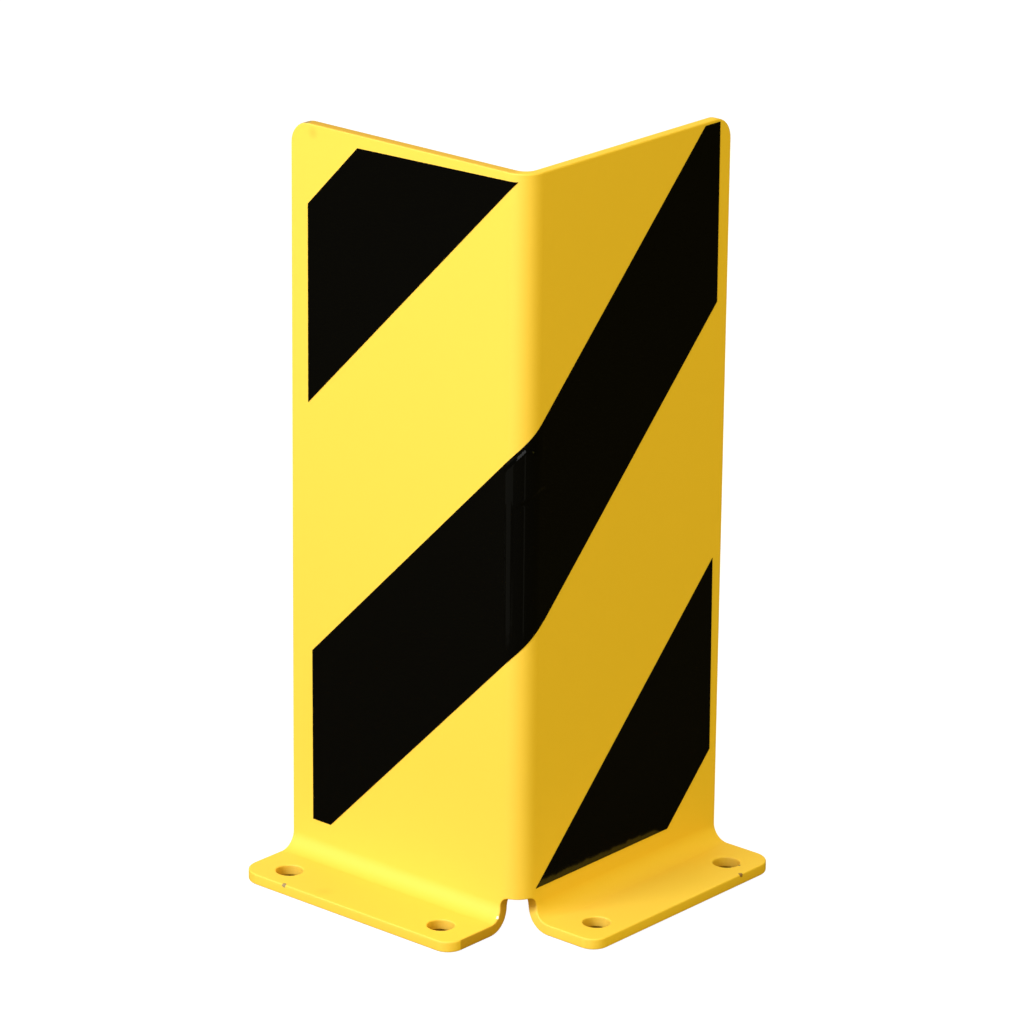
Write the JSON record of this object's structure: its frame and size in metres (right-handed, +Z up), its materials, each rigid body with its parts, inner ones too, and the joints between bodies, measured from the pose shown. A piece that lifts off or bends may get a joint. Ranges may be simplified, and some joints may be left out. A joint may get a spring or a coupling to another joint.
{
  "type": "corner guard",
  "caption": "Upright corner guard folded from one steel plate, with two drilled feet for floor anchors and slanted black film bands on its yellow faces.",
  "frame": {"origin": "middle of the footprint's bounding box, at floor level", "axes": "+Z up; the walls run along +X and +Y from the upright bend; the feet reach out to -Y and -X"},
  "size_m": [0.198, 0.198, 0.4],
  "materials": {
    "powder_coat": "yellow powder coat, satin gloss, over steel plate",
    "black_film": "black self-adhesive vinyl film, high gloss"
  },
  "bodies": {
    "root": {"folded_plate": "powder_coat", "upper_band_film": "black_film", "middle_band_film": "black_film", "lower_band_film": "black_film"}
  },
  "joints": []
}
